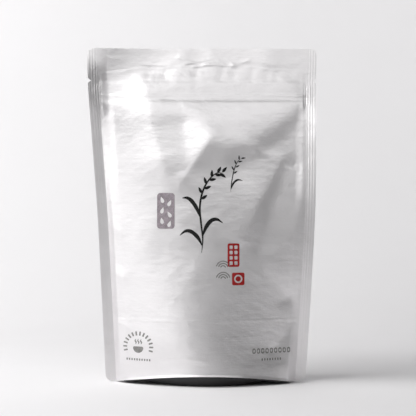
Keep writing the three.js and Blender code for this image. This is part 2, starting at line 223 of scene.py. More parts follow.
# The film's grid
FRONT_COLUMNS, FRONT_SEAL_COLUMNS = 184, 16
BACK_COLUMNS, BACK_SEAL_COLUMNS = 70, 7
COLUMN_SPREAD = 1.1  # radians of a sine that sets the columns closer together beside the seals
LEAST_SEAL = 0.5  # what is left of a side seal's width where a corner rounds it off
CORNER_ROWS = 8
BODY_ROW = 0.85
TOP_ROW = 0.5
FINE_FROM = 190  # rows are closer together above this height, over the zip and the top seal
SEAL_ATTRIBUTE = "into_seal"  # how far a point lies past a side seal's inner edge, in millimetres
SEAL_RIB_PITCH = 1.8


def smooth(low, high, value):
    t = np.clip((value - low) / (high - low), 0, 1)
    return t * t * (3 - 2 * t)


def middle(z):
    """The sideways place of the pouch's middle at a height."""
    return TOP_LEAN * smooth(LEAN_FROM, LEAN_TO, z)


def half_width(z):
    return FILM_WIDTH / 2 - BASE_NARROWING * np.clip(1 - z / HEIGHT, 0, 1) ** NARROWING_POWER


def outline_half_width(z):
    """The same with the rounded corners and the tear notches."""
    inside = np.maximum(0, CORNER_RADIUS - np.minimum(z, HEIGHT - z))
    corner = np.sqrt(CORNER_RADIUS**2 - inside**2) - CORNER_RADIUS
    notch = NOTCH_DEPTH * np.clip(1 - np.abs(z - NOTCH_Z) / NOTCH_HEIGHT, 0, 1)
    return half_width(z) + corner - notch


def belly_depth(z):
    """How far the belly's crest stands out: the lesser of the wedge and the body, rounded where they meet."""
    below = np.maximum(BELLY_TOP - z, 0.01)
    wedge = WEDGE_SLOPE * below
    body = BODY_START + BODY_SLOPE * below
    return (wedge**-BELLY_TURN + body**-BELLY_TURN) ** (-1 / BELLY_TURN)


def from_crest(x, z):
    """How far across a point lies: 0 on the belly's crest, -1 and 1 on the side seals' inner edges."""
    away = x - middle(z) - CREST_SHIFT
    return away / (half_width(z) - SIDE_SEAL - np.sign(away) * CREST_SHIFT)


def flank_drop(across):
    """The share of the belly's depth that is lost at a point: 0 on its crest and 1 at the seals."""
    half = np.where(across > 0, RIGHT_ROUNDNESS, LEFT_ROUNDNESS) / 2
    soft = CREST_SOFT**2
    return np.minimum(((across**2 + soft) ** half - soft**half) / ((1 + soft) ** half - soft**half), 1)


def belly_arch(x, z):
    """The share of the belly's depth that is left at a point."""
    across = from_crest(x, z)
    return (1 - flank_drop(across)) ** np.where(across > 0, 1, LEFT_FLANK_POWER)


def fold_relief(x, z, start, end, height, widths, soft, fade, bow=0):
    """How far one fold stands out. Its crest is rounded over soft, and its two faces fall away from it."""
    dx, dz = end[0] - start[0], end[1] - start[1]
    length = math.hypot(dx, dz)
    along = ((x - start[0]) * dx + (z - start[1]) * dz) / length
    across = ((z - start[1]) * dx - (x - start[0]) * dz) / length
    t = np.clip(along / length, 0, 1)
    across = across - bow * 4 * t * (1 - t)
    before, beyond = 1 / widths[0], 1 / widths[1]
    drop = ((beyond - before) * across + (beyond + before) * (np.hypot(across, soft) - soft)) / 2
    early = np.maximum(0, -along) / fade[0]
    late = np.maximum(0, along - length) / fade[1]
    return height * np.exp(-drop - early**2 - late**2)


def crease_relief(x, z, start, end, height, width):
    """A crease is a narrow fold that starts and ends within its own width."""
    return fold_relief(x, z, start, end, height, (width, width), 0.5 * width, (2 * width, 2 * width))


def zip_depth(z):
    return sum(out * (1 - smooth(step - over / 2, step + over / 2, z)) for step, out, over in ZIP_STEPS)


def weld_line(x):
    """The height of the top weld's lower edge."""
    waves = sum(height * np.sin(x / length + phase) for height, length, phase in WELD_WAVES)
    return WELD_LINE - WELD_BOW * x**2 + waves


def flute_relief(x, z):
    """The free film below the top weld, with its upright flutes."""
    over_weld = z - weld_line(x)
    slant = FLUTE_SLANT * (z - FLUTES_AT)
    dips = sum(depth * np.exp(-(((x - place - slant) / FLUTE_WIDTH) ** 2)) for place, depth in FLUTES)
    fluted = smooth(*FLUTE_FOOT, z) * (1 - smooth(FLUTE_HEAD, 0, over_weld))
    return FREE_FILM * (1 - smooth(*FREE_EDGE, over_weld)) - dips * fluted


def crush_relief(x, z):
    """The crushed ends of the zip, astride the inner edges of the side seals."""
    away = np.abs(x - middle(z)) - (half_width(z) - SIDE_SEAL) - CRUSH_MIDDLE
    over = np.clip((CRUSH_HALF_WIDTH - np.abs(away)) / (CRUSH_HALF_WIDTH - CRUSH_FULL), 0, 1)
    foot = smooth(CRUSH_LOW, CRUSH_LOW + CRUSH_ENDS, z)
    head = 1 - smooth(CRUSH_HIGH - CRUSH_ENDS, CRUSH_HIGH, z)
    return CRUSH_HEIGHT * over * foot * head * (1 + np.cos(2 * math.pi * away / CRUSH_PITCH)) / 2


def pressed_relief(x, z):
    """The pressed line over the gusset's top, and the flare of the cut hem."""
    line = PRESSED_HEIGHT * np.exp(-(((z - PRESSED_Z) / PRESSED_WIDTH) ** 2))
    hem = (1 - smooth(0, HEM_HEIGHT, z)) * (1 - smooth(HEM_ENDS, 1, np.abs(x) / LIFT_HALF_LENGTH))
    return line + HEM_FLARE * hem


def film_depth(folds, x, z):
    """How far the film stands out from the seal plane at x, z."""
    share = np.abs(x - middle(z)) / (half_width(z) - SIDE_SEAL)
    free = smooth(0, ZIP_OPENING, 1 - share)
    opening = np.where(x < middle(z), LEFT_OPENING, RIGHT_OPENING)
    opened = smooth(0, opening, 1 - share) * (1 - smooth(-WELD_FADE, 0, z - weld_line(x)))
    folded = sum(fold_relief(x, z, **fold) for fold in folds)
    zipped = free + (opened - free) * (1 - smooth(*ZIP_FOOT, z))
    stood = belly_depth(z) * belly_arch(x, z) + opened * folded + zipped * zip_depth(z)
    stood = stood + free * (flute_relief(x, z) + pressed_relief(x, z))
    inside = x - middle(z) + half_width(z) - SIDE_SEAL
    rim = smooth(0, RIM_WIDTH, inside) * (1 - smooth(-RIM_REACH, RIM_REACH, from_crest(x, z)))
    stood = stood + RIM_HEIGHT * rim * (1 - smooth(*RIM_FADE, z)) * smooth(0, LIFT_FADE, z)
    if folds is FRONT_FOLDS:
        stood = stood + sum(crease_relief(x, z, **crease) for crease in CREASES)
    return SEAL_THICK / 2 + np.where(share >= 1, 0, np.maximum(0, stood)) + crush_relief(x, z)


def seal_curl(x, z):
    """How far back a side seal is curled at x, z."""
    side = (x - middle(z)) / (half_width(z) - SIDE_SEAL)
    past = (np.abs(side) - np.where(side < 0, LEFT_HINGE, RIGHT_HINGE)) / CURL_REACH
    past = (past + np.hypot(past, CURL_SOFT)) / 2
    left_top = smooth(*LEFT_TOP_RISE, z) * (1 - LEFT_TOP_LOSS * smooth(*LEFT_TOP_FALL, z))
    right_low = 1 - smooth(*RIGHT_LOW_FALL, z)
    right_middle = smooth(*RIGHT_MIDDLE_RISE, z) * (1 - smooth(*RIGHT_MIDDLE_FALL, z))
    left = LEFT_CURL + LEFT_TOP_CURL * left_top
    right = RIGHT_LOW_CURL * right_low + RIGHT_MIDDLE_CURL * right_middle
    return past * np.where(side < 0, left, right)


def seam_shift(x, z):
    """How far back both films and the weld between them lie from the plane of the pouch's middle."""
    span = BACK_FULL - BACK_FROM
    t = np.clip((z - BACK_FROM) / span, 0, 1)
    lean = BACK_SLOPE * (span * (t**3 - t**4 / 2) + np.maximum(0, z - BACK_FULL))
    across = from_crest(x, z)
    drawn = np.where(across > 0, flank_drop(across), 0)
    lean = lean - DRAWN_SHARE * smooth(DRAWN_LOW, DRAWN_FULL, z) * belly_depth(z) * drawn
    for (bent_x, bent_z), by in ((BENT_THROUGH, -BENT_BY), (TIP_THROUGH, TIP_BY)):
        lean = lean + by * np.maximum(0, (z - bent_z - (x - bent_x)) / math.sqrt(2)) ** 2
    return lean + seal_curl(x, z) - sum(fold_relief(x, z, **fold) for fold in SEAM_FOLDS)


def lift(x):
    """The film's lower edge arches up between the corners."""
    return BASE_LIFT * np.maximum(0, 1 - (x / LIFT_HALF_LENGTH) ** 2) ** LIFT_POWER


def row_heights():
    """The heights of the film's rows, with rows of their own at the rounded corners and the notches."""
    turn = np.linspace(0, math.pi / 2, CORNER_ROWS)
    corner = CORNER_RADIUS * (1 - np.cos(turn))
    body = np.linspace(CORNER_RADIUS, FINE_FROM, round((FINE_FROM - CORNER_RADIUS) / BODY_ROW))
    notch = NOTCH_Z + NOTCH_HEIGHT * np.array([-1, -0.5, 0, 0.5, 1])
    below = np.linspace(FINE_FROM, notch[0], round((notch[0] - FINE_FROM) / TOP_ROW))
    shoulder = HEIGHT - CORNER_RADIUS
    above = np.linspace(notch[-1], shoulder, round((shoulder - notch[-1]) / TOP_ROW))
    return np.concatenate([corner[:-1], body[:-1], below[:-1], notch, above[1:-1], HEIGHT - corner[::-1]])


def film_grid(folds, facing, columns, seal_columns):
    """One face of the film as rows of points, the front with facing -1 and the back with facing 1."""
    rows = row_heights()[:, None]
    seal = np.linspace(0, 1, seal_columns + 1)[None, 1:]
    across = np.linspace(-1, 1, columns + 1)[None, :]
    outer = outline_half_width(rows)
    inner = np.minimum(half_width(rows) - SIDE_SEAL, outer - LEAST_SEAL)
    body = inner * np.sin(across * COLUMN_SPREAD) / math.sin(COLUMN_SPREAD)
    right = inner + (outer - inner) * seal
    x = np.hstack([-right[:, ::-1], body, right]) + middle(rows)
    row = np.broadcast_to(rows, x.shape)
    z = row + lift(x) * (1 - smooth(0, LIFT_FADE, row))
    return np.stack([x, seam_shift(x, row) + facing * film_depth(folds, x, row), z], axis=-1)


def strip_between(one, other):
    """Triangles that join two rows of corners which run the same way but may differ in number. They face
    outwards where the first row runs as the faces beside it go round."""
    faces = []
    i = j = 0
    while i + 1 < len(one) or j + 1 < len(other):
        if j + 1 == len(other) or (i + 1 < len(one) and (i + 1) * len(other) <= (j + 1) * len(one)):
            faces.append((one[i], other[j], one[i + 1]))
            i += 1
        else:
            faces.append((one[i], other[j], other[j + 1]))
            j += 1
    return faces


def grid_faces(number):
    """Quads over a grid of corner numbers, facing -Y where its columns run along +X and its rows up."""
    a, b = number[:-1, :-1], number[:-1, 1:]
    c, d = number[1:, 1:], number[1:, :-1]
    return np.stack([a, b, c, d], axis=-1).reshape(-1, 4).tolist()


def mesh_piece(name, points, faces, material, sharp=35):
    """A new piece from corners in millimetres, at the origin, smooth but for edges over sharp degrees."""
    mesh = bpy.data.meshes.new(name)
    mesh.from_pydata((np.asarray(points) * MM).tolist(), [], faces)
    mesh.shade_smooth()
    mesh.set_sharp_from_angle(angle=math.radians(sharp))
    mesh.materials.append(material)
    mesh.validate()
    piece = bpy.data.objects.new(name, mesh)
    bpy.context.scene.collection.objects.link(piece)
    return piece


def closed_shell(front, back):
    """Points and faces of the closed surface between two grids with the same rows."""
    points = np.vstack([front.reshape(-1, 3), back.reshape(-1, 3)])
    f = np.arange(front.shape[0] * front.shape[1]).reshape(front.shape[:2])
    b = f.size + np.arange(back.shape[0] * back.shape[1]).reshape(back.shape[:2])
    faces = grid_faces(f) + grid_faces(b[:, ::-1])
    faces += strip_between(f[::-1, 0].tolist(), b[::-1, 0].tolist())
    faces += strip_between(f[:, -1].tolist(), b[:, -1].tolist())
    faces += strip_between(f[0, :].tolist(), b[0, :].tolist())
    faces += strip_between(f[-1, ::-1].tolist(), b[-1, ::-1].tolist())
    return points, faces


# Materials


def linear(colour):
    """A colour given as sRGB hex, as Blender's linear values."""
    parts = [(colour >> shift & 255) / 255 for shift in (16, 8, 0)]
    return tuple(c / 12.92 if c <= 0.04045 else ((c + 0.055) / 1.055) ** 2.4 for c in parts) + (1.0,)


def add(tree, kind, inputs=(), **settings):
    """Adds a node with its own settings. An input is a value, or another node's output to link."""
    node = tree.nodes.new(kind)
    for name, value in settings.items():
        setattr(node, name, value)
    for key, value in dict(inputs).items():
        if isinstance(value, bpy.types.NodeSocket):
            tree.links.new(value, node.inputs[key])
        else:
            node.inputs[key].default_value = value
    return node


def new_material(name):
    """An empty node material and its shader, already joined to the output."""
    material = bpy.data.materials.new(name)
    material.use_nodes = True
    tree = material.node_tree
    tree.nodes.clear()
    shader = add(tree, "ShaderNodeBsdfPrincipled")
    add(tree, "ShaderNodeOutputMaterial", {"Surface": shader.outputs["BSDF"]})
    return material, tree, shader


def grain(tree, sizes, detail=2.0, seed=0.0):
    """Noise whose grains are as long as sizes says, in millimetres along X, Y and Z. It averages 0.5."""
    place = add(tree, "ShaderNodeTexCoord").outputs["Object"]
    scale = tuple(1 / (size * MM) for size in sizes)
    mapping = add(tree, "ShaderNodeMapping", {"Vector": place, "Scale": scale, "Location": (seed, seed, seed)})
    noise = add(tree, "ShaderNodeTexNoise", {"Vector": mapping.outputs[0], "Scale": 1.0, "Detail": detail})
    return noise.outputs["Fac"]


def spread(tree, value, low, high, low_from=0.3, high_from=0.7):
    """A value between two others, such as a noise's, told as a range of another quantity."""
    ranged = {"Value": value, "From Min": low_from, "From Max": high_from, "To Min": low, "To Max": high}
    return add(tree, "ShaderNodeMapRange", ranged).outputs["Result"]


def relief(tree, shader, *layers):
    """Bumps one layer over another, each as its height field, the height of a full step in mm, and a share."""
    normal = None
    for height, step, strength in layers:
        inputs = {"Height": height, "Distance": step * MM, "Strength": strength}
        if normal:
            inputs["Normal"] = normal
        normal = add(tree, "ShaderNodeBump", inputs).outputs["Normal"]
    tree.links.new(normal, shader.inputs["Normal"])


def pearl_film():
    """Polyester over metallised film and polythene, matt lacquered: a soft, silky metal sheen. The film was
    cast and drawn lengthwise, which leaves faint lines across the pouch, and the seals were pressed between
    ribbed bars. The lines and the lacquer's grain are drawn coarser than they are, so that they show."""
    material, tree, shader = new_material("matt_laminated_pearl_film")
    shader.inputs["Metallic"].default_value = 0.85
    clouds = grain(tree, (14, 14, 9), detail=3.0)
    lacquer = grain(tree, (0.6, 0.6, 0.6), seed=4.0)
    drawn = grain(tree, (26, 26, 0.8), detail=3.0, seed=9.0)
    crinkles = grain(tree, (9, 9, 5), detail=4.0, seed=13.0)

    tint = add(tree, "ShaderNodeMix", {0: clouds, 6: linear(0xE9E7E8), 7: linear(0xEFEDEE)}, data_type="RGBA")
    tree.links.new(tint.outputs[2], shader.inputs["Base Color"])
    silk = spread(tree, clouds, 0.375, 0.42)
    fine = spread(tree, lacquer, -0.025, 0.025)
    rough = add(tree, "ShaderNodeMath", {0: silk, 1: fine}, operation="ADD")
    tree.links.new(rough.outputs[0], shader.inputs["Roughness"])

    # The ribs of the sealing bars run up the side seals
    into_seal = add(tree, "ShaderNodeAttribute", attribute_name=SEAL_ATTRIBUTE).outputs["Fac"]
    turn = add(tree, "ShaderNodeMath", {0: into_seal, 1: 2 * math.pi / SEAL_RIB_PITCH}, operation="MULTIPLY")
    ribs = add(tree, "ShaderNodeMath", {0: turn.outputs[0]}, operation="SINE")
    pressed = {"Value": into_seal, "From Min": 0.2, "From Max": 0.8}
    in_seal = add(tree, "ShaderNodeMapRange", pressed).outputs["Result"]
    bars = add(tree, "ShaderNodeMath", {0: ribs.outputs[0], 1: in_seal}, operation="MULTIPLY")
    relief(
        tree,
        shader,
        (crinkles, 0.5, 0.6),
        (drawn, 0.12, 0.3),
        (lacquer, 0.03, 0.4),
        (bars.outputs[0], 0.05, 0.7),
    )
    return material


def black_film():
    """Black printed laminate with the same matt lacquer, crumpled a little where it was folded."""
    material, tree, shader = new_material("matt_black_gusset_film")
    clouds = grain(tree, (12, 12, 12), detail=3.0, seed=2.0)
    lacquer = grain(tree, (0.6, 0.6, 0.6), seed=5.0)
    crumple = grain(tree, (7, 5, 7), detail=3.0, seed=7.0)
    tint = add(tree, "ShaderNodeMix", {0: clouds, 6: linear(0x1C1C1D), 7: linear(0x242426)}, data_type="RGBA")
    tree.links.new(tint.outputs[2], shader.inputs["Base Color"])
    tree.links.new(spread(tree, clouds, 0.42, 0.52), shader.inputs["Roughness"])
    relief(tree, shader, (crumple, 0.8, 0.4), (lacquer, 0.03, 0.3))
    return material


def printing_ink(name, colour, worn):
    """Gravure ink under the matt lacquer: flat and even, with a faint grain of printing cells."""
    material, tree, shader = new_material(name)
    cells = grain(tree, (0.5, 0.5, 0.5), detail=1.0, seed=3.0)
    blotches = grain(tree, (3, 3, 3), detail=3.0, seed=6.0)
    uneven = add(tree, "ShaderNodeMath", {0: cells, 1: blotches}, operation="MULTIPLY")
    share = spread(tree, uneven.outputs[0], 0, 1, 0.15, 0.4)
    tint = add(tree, "ShaderNodeMix", {0: share, 6: linear(colour), 7: linear(worn)}, data_type="RGBA")
    tree.links.new(tint.outputs[2], shader.inputs["Base Color"])
    tree.links.new(spread(tree, blotches, 0.4, 0.48), shader.inputs["Roughness"])
    relief(tree, shader, (cells, 0.03, 0.3))
    shader.inputs["Specular IOR Level"].default_value = 0.2
    return material


def sweep_paper():
    """Matt background paper with a soft, fibrous face."""
    material, tree, shader = new_material("white_paper_sweep")
    fibres = grain(tree, (1.2, 1.2, 1.2), detail=4.0)
    pulp = grain(tree, (60, 60, 60), detail=3.0, seed=2.0)
    tint = add(tree, "ShaderNodeMix", {0: pulp, 6: linear(0xDFDEDF), 7: linear(0xE1E0E1)}, data_type="RGBA")
    tree.links.new(tint.outputs[2], shader.inputs["Base Color"])
    tree.links.new(spread(tree, fibres, 0.85, 0.95), shader.inputs["Roughness"])
    relief(tree, shader, (fibres, 0.08, 0.3))
    return material


# The pouch and its gusset

front_panel = film_grid(FRONT_FOLDS, -1, FRONT_COLUMNS, FRONT_SEAL_COLUMNS)
back_panel = film_grid(BACK_FOLDS, 1, BACK_COLUMNS, BACK_SEAL_COLUMNS)
pouch_film = mesh_piece("pouch_film", *closed_shell(front_panel, back_panel), pearl_film())
into_seal = pouch_film.data.attributes.new(SEAL_ATTRIBUTE, "FLOAT", "POINT")
corners = np.array([corner.co for corner in pouch_film.data.vertices]) / MM
seal_start = half_width(corners[:, 2]) - SIDE_SEAL
into_seal.data.foreach_set("value", np.abs(corners[:, 0] - middle(corners[:, 2])) - seal_start)
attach(pouch_film, "root")
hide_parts("pouch")


def gusset_shell():
    """The gusset film hangs below the pouch as a shallow tub, and lies flat under its middle."""
    across = -np.cos(np.linspace(0, math.pi, GUSSET_ROWS + 1))[:, None]
    x = -GUSSET_HALF_LENGTH * np.cos(np.linspace(0, math.pi, GUSSET_COLUMNS + 1))[None, :]
    x, across = np.broadcast_arrays(x, across)
    reach = np.where(across < 0, film_depth(FRONT_FOLDS, x, 0), film_depth(BACK_FOLDS, x, 0)) - GUSSET_INSET
    rise = lift(x) - GUSSET_GAP
    to_end = (np.abs(x) / GUSSET_HALF_LENGTH) ** GUSSET_END_POWER
    contact = CONTACT_HALF_DEPTH * np.maximum(0, 1 - (x / CONTACT_HALF_LENGTH) ** 2)
    risen = np.clip((np.abs(across) * reach - contact) / (reach - contact), 0, 1) ** GUSSET_RISE_POWER
    bulged = 1 - (1 - risen) * (1 - to_end)
    hung = np.maximum(0, (bulged - GUSSET_FLAT_SHARE) / (1 - GUSSET_FLAT_SHARE))
    crease = GUSSET_CREASE * np.exp(-((across * reach / GUSSET_CREASE_WIDTH) ** 2)) * (1 - to_end)
    under = np.stack([x, across * reach, (rise - GUSSET_THICK) * hung + crease], axis=-1)
    top = np.stack([x, across * reach, np.maximum(rise, under[..., 2] + GUSSET_THICK)], axis=-1)
    return closed_shell(under[::-1], top[::-1])


gusset_film = mesh_piece("gusset_film", *gusset_shell(), black_film())
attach(gusset_film, "root")
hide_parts("gusset")

# The print, as thin layers of ink


def geometry_tree(name, sockets):
    """A Geometry Nodes tree from a geometry to a geometry. More inputs come as (name, kind, value)."""
    tree = bpy.data.node_groups.new(name, "GeometryNodeTree")
    tree.interface.new_socket("Geometry", in_out="INPUT", socket_type="NodeSocketGeometry")
    for label, kind, value in sockets:
        socket = tree.interface.new_socket(label, in_out="INPUT", socket_type=kind)
        if value is not None:
            socket.default_value = value
    tree.interface.new_socket("Geometry", in_out="OUTPUT", socket_type="NodeSocketGeometry")
    return tree, add(tree, "NodeGroupInput").outputs


def joined(tree, *parts):
    """Several geometries as one."""
    join = add(tree, "GeometryNodeJoinGeometry")
    for part in parts:
        tree.links.new(part, join.inputs[0])
    return join.outputs[0]


RAY_START = -0.2  # the rays that find the film start here, before the pouch, in metres
WELD_WITHIN = 0.001 * MM  # corners of a layer's faces that are closer than this become one
# The inputs of every tree that prints
LAYER_SOCKETS = [
    ("Film", "NodeSocketObject", None),
    ("Lift", "NodeSocketFloat", 0.07 * MM),
    ("Thickness", "NodeSocketFloat", 0.05 * MM),
    ("Ink", "NodeSocketMaterial", None),
]


def lay_on_film_tree():
    """Lays flat shapes, drawn on the XY plane, on the film's front as a thin closed layer of ink."""
    tree, given = geometry_tree("lay_on_film", LAYER_SOCKETS)
    film = add(tree, "GeometryNodeObjectInfo", {"Object": given["Film"]}).outputs["Geometry"]
    drawn = add(tree, "ShaderNodeSeparateXYZ", {0: add(tree, "GeometryNodeInputPosition").outputs[0]}).outputs
    before = add(tree, "ShaderNodeCombineXYZ", {"X": drawn["X"], "Y": RAY_START, "Z": drawn["Y"]}).outputs[0]
    ray = {"Target Geometry": film, "Source Position": before, "Ray Direction": (0, 1, 0), "Ray Length": 1.0}
    hit = add(tree, "GeometryNodeRaycast", ray).outputs
    lifted = {0: hit["Hit Normal"], 1: given["Lift"], 2: hit["Hit Position"]}
    place = add(tree, "ShaderNodeVectorMath", lifted, operation="MULTIPLY_ADD").outputs[0]
    shapes = add(tree, "GeometryNodeRealizeInstances", {0: given["Geometry"]}).outputs[0]
    sheet = add(tree, "GeometryNodeSetPosition", {"Geometry": shapes, "Position": place}).outputs[0]
    extrude = {"Mesh": sheet, "Offset Scale": given["Thickness"], "Individual": False}
    face = add(tree, "GeometryNodeExtrudeMesh", extrude, mode="FACES").outputs["Mesh"]
    under = add(tree, "GeometryNodeFlipFaces", {0: sheet}).outputs[0]
    closed = {"Geometry": joined(tree, face, under), "Distance": WELD_WITHIN}
    layer = add(tree, "GeometryNodeMergeByDistance", closed).outputs[0]
    real = add(tree, "GeometryNodeRealizeInstances", {0: layer}).outputs[0]
    inked = add(tree, "GeometryNodeSetMaterial", {"Geometry": real, "Material": given["Ink"]}).outputs[0]
    add(tree, "NodeGroupOutput", {"Geometry": inked})
    return tree


LAY_ON_FILM = lay_on_film_tree()


def finish_tree(tree, given, shapes):
    """Ends a tree with its flat shapes laid on the film."""
    inputs = {name: given[name] for name, kind, value in LAYER_SOCKETS}
    laid = add(tree, "GeometryNodeGroup", {"Geometry": shapes, **inputs}, node_tree=LAY_ON_FILM).outputs[0]
    real = add(tree, "GeometryNodeRealizeInstances", {0: laid}).outputs[0]
    inked = add(tree, "GeometryNodeSetMaterial", {"Geometry": real, "Material": given["Ink"]}).outputs[0]
    add(tree, "NodeGroupOutput", {"Geometry": inked})
    return tree


def brush_strokes_tree():
    """Curves as brush strokes, as broad as their radius says in millimetres, with a slightly uneven edge."""
    own = [
        ("Step", "NodeSocketFloat", 0.7 * MM),
        ("Strips", "NodeSocketInt", 4),
        ("Unevenness", "NodeSocketFloat", 0.3),
        ("Seed", "NodeSocketFloat", 3.0),
    ]
    tree, given = geometry_tree("brush_strokes", own + LAYER_SOCKETS)
    smoothed = {"Curve": given["Geometry"]}
    curve = add(tree, "GeometryNodeCurveSplineType", smoothed, spline_type="CATMULL_ROM").outputs[0]
    even = {"Curve": curve, "Length": given["Step"]}
    even = add(tree, "GeometryNodeResampleCurve", even, mode="LENGTH").outputs[0]
    tip = add(tree, "GeometryNodeCurvePrimitiveLine", {"Start": (-MM, 0, 0), "End": (MM, 0, 0)}).outputs[0]
    points = add(tree, "ShaderNodeMath", {0: given["Strips"], 1: 1.0}, operation="ADD").outputs[0]
    tip = add(tree, "GeometryNodeResampleCurve", {"Curve": tip, "Count": points}, mode="COUNT").outputs[0]
    sway = {"W": given["Seed"], "Scale": 400.0, "Detail": 1.0}
    sway = add(tree, "ShaderNodeTexNoise", sway, noise_dimensions="4D").outputs["Fac"]
    sway = add(tree, "ShaderNodeMath", {0: sway, 1: 0.5}, operation="SUBTRACT").outputs[0]
    sway = {0: sway, 1: given["Unevenness"], 2: 1.0}
    sway = add(tree, "ShaderNodeMath", sway, operation="MULTIPLY_ADD").outputs[0]
    breadth = {0: add(tree, "GeometryNodeInputRadius").outputs[0], 1: sway}
    breadth = add(tree, "ShaderNodeMath", breadth, operation="MULTIPLY").outputs[0]
    ribbon = {"Curve": even, "Profile Curve": tip, "Scale": breadth}
    return finish_tree(tree, given, add(tree, "GeometryNodeCurveToMesh", ribbon).outputs[0])


def printed_panel_tree():
    """Closed curves filled with ink. A curve within another leaves a bare hole."""
    own = [("Step", "NodeSocketFloat", 0.7 * MM), ("Cuts", "NodeSocketInt", 2)]
    tree, given = geometry_tree("printed_panel", own + LAYER_SOCKETS)
    even = {"Curve": given["Geometry"], "Length": given["Step"]}
    outline = add(tree, "GeometryNodeResampleCurve", even, mode="LENGTH").outputs[0]
    filled = add(tree, "GeometryNodeFillCurve", {"Curve": outline}, mode="TRIANGLES").outputs[0]
    fine = add(tree, "GeometryNodeSubdivideMesh", {"Mesh": filled, "Level": given["Cuts"]}).outputs[0]
    return finish_tree(tree, given, fine)


def mark_row_tree():
    """One rounded mark again and again along a curve, square to it. Hole is the share of it left bare."""
    own = [
        ("Spacing", "NodeSocketFloat", 2 * MM),
        ("Width", "NodeSocketFloat", MM),
        ("Height", "NodeSocketFloat", MM),
        ("Corner", "NodeSocketFloat", 0.3 * MM),
        ("Hole", "NodeSocketFloat", 0.0),
    ]
    tree, given = geometry_tree("mark_row", own + LAYER_SOCKETS)
    size = {"Width": given["Width"], "Height": given["Height"]}
    outline = add(tree, "GeometryNodeCurvePrimitiveQuadrilateral", size).outputs[0]
    rounded = {"Curve": outline, "Count": 4, "Radius": given["Corner"], "Limit Radius": True}
    outline = add(tree, "GeometryNodeFilletCurve", rounded, mode="POLY").outputs[0]
    smaller = add(tree, "ShaderNodeCombineXYZ", {"X": given["Hole"], "Y": given["Hole"], "Z": 1.0}).outputs[0]
    inner = add(tree, "GeometryNodeTransform", {"Geometry": outline, "Scale": smaller}).outputs[0]
    holed = add(tree, "FunctionNodeCompare", {0: given["Hole"], 1: 0.0}, operation="GREATER_THAN").outputs[0]
    hole = {"Switch": holed, "True": inner}
    hole = add(tree, "GeometryNodeSwitch", hole, input_type="GEOMETRY").outputs[0]
    holed = {"Curve": joined(tree, outline, hole)}
    mark = add(tree, "GeometryNodeFillCurve", holed, mode="TRIANGLES").outputs[0]
    along = {"Curve": given["Geometry"], "Length": given["Spacing"]}
    along = add(tree, "GeometryNodeCurveToPoints", along, mode="LENGTH").outputs
    turned = {"Vector": along["Tangent"]}
    turned = add(tree, "FunctionNodeAlignRotationToVector", turned, axis="X", pivot_axis="Z").outputs[0]
    row = {"Points": along["Points"], "Instance": mark, "Rotation": turned}
    row = add(tree, "GeometryNodeInstanceOnPoints", row).outputs[0]
    return finish_tree(tree, given, add(tree, "GeometryNodeRealizeInstances", {0: row}).outputs[0])


def drawn_curves(lines, closed=False):
    """Flat curves from lines of (x, z) or (x, z, half breadth) in millimetres, drawn on the XY plane."""
    data = bpy.data.curves.new("drawing", "CURVE")
    data.dimensions = "3D"
    for line in lines:
        spline = data.splines.new("POLY")
        spline.points.add(len(line) - 1)
        spline.use_cyclic_u = closed
        for point, place in zip(spline.points, line):
            point.co = (place[0] * MM, place[1] * MM, 0, 1)
            point.radius = place[2] if len(place) > 2 else 1
    drawing = bpy.data.objects.new("drawing", data)
    bpy.context.scene.collection.objects.link(drawing)
    return drawing


def print_run(tree, lines, ink, closed=False, **sizes):
    """The mesh that a tree makes of some lines. Its sizes are named as the tree's inputs are."""
    drawing = drawn_curves(lines, closed)
    modifier = drawing.modifiers.new("print", "NODES")
    modifier.node_group = tree
    chosen = {"Film": pouch_film, "Ink": ink, **sizes}
    for item in tree.interface.items_tree:
        if item.in_out == "INPUT" and item.name in chosen:
            modifier[item.identifier] = chosen[item.name]
    depsgraph = bpy.context.evaluated_depsgraph_get()
    mesh = bpy.data.meshes.new_from_object(drawing.evaluated_get(depsgraph))
    bpy.data.objects.remove(drawing)
    return mesh


def print_piece(name, ink, runs, sharp=40):
    """All that is printed in one ink, as one piece."""
    whole = bmesh.new()
    for mesh in runs:
        whole.from_mesh(mesh)
    mesh = bpy.data.meshes.new(name)
    whole.to_mesh(mesh)
    whole.free()
    mesh.materials.append(ink)
    mesh.shade_smooth()
    mesh.set_sharp_from_angle(angle=math.radians(sharp))
    piece = bpy.data.objects.new(name, mesh)
    bpy.context.scene.collection.objects.link(piece)
    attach(piece, "root")


def arc(x, z, radius, start, end, points=24):
    """Points round x, z from one angle to another, in degrees."""
    turns = np.radians(np.linspace(start, end, points))
    return [(x + radius * math.cos(t), z + radius * math.sin(t)) for t in turns]


def ring(x, z, radius):
    """A whole round, for a closed curve."""
    return arc(x, z, radius, 0, 345)


def rounded_box(left, low, right, high, corner):
    """The outline of an upright box with round corners."""
    centres = [(right - corner, high - corner), (left + corner, high - corner), (left + corner, low + corner),
               (right - corner, low + corner)]
    return [point for i, c in enumerate(centres) for point in arc(*c, corner, 90 * i, 90 * i + 90, 6)]


def seed_outline(x, z, length, breadth, lean):
    """A sesame seed, round at one end and pointed at the other, leaning by some degrees."""
    turns = np.linspace(0, 2 * math.pi, 20, endpoint=False)
    aside = breadth * 0.65 * np.sin(turns) * np.sin(turns / 2) ** 1.2
    up = length / 2 * np.cos(turns)
    c, s = math.cos(math.radians(lean)), math.sin(math.radians(lean))
    return [(x + c * a - s * u, z + s * a + c * u) for a, u in zip(aside, up)]


def tapered(line, half):
    """A stroke that starts thin, swells and leaves thin."""
    shares = np.linspace(0, 1, len(line))
    swell = 0.12 + 0.88 * np.sin(math.pi * shares**0.8) ** 0.8
    return [(x, z, half * s) for (x, z), s in zip(line, swell)]


def point_along(line, share):
    """The point at a share of the way along a line, from its first corner to its last."""
    reach = np.linspace(0, 1, len(line))
    return tuple(np.interp(share, reach, values) for values in zip(*line))


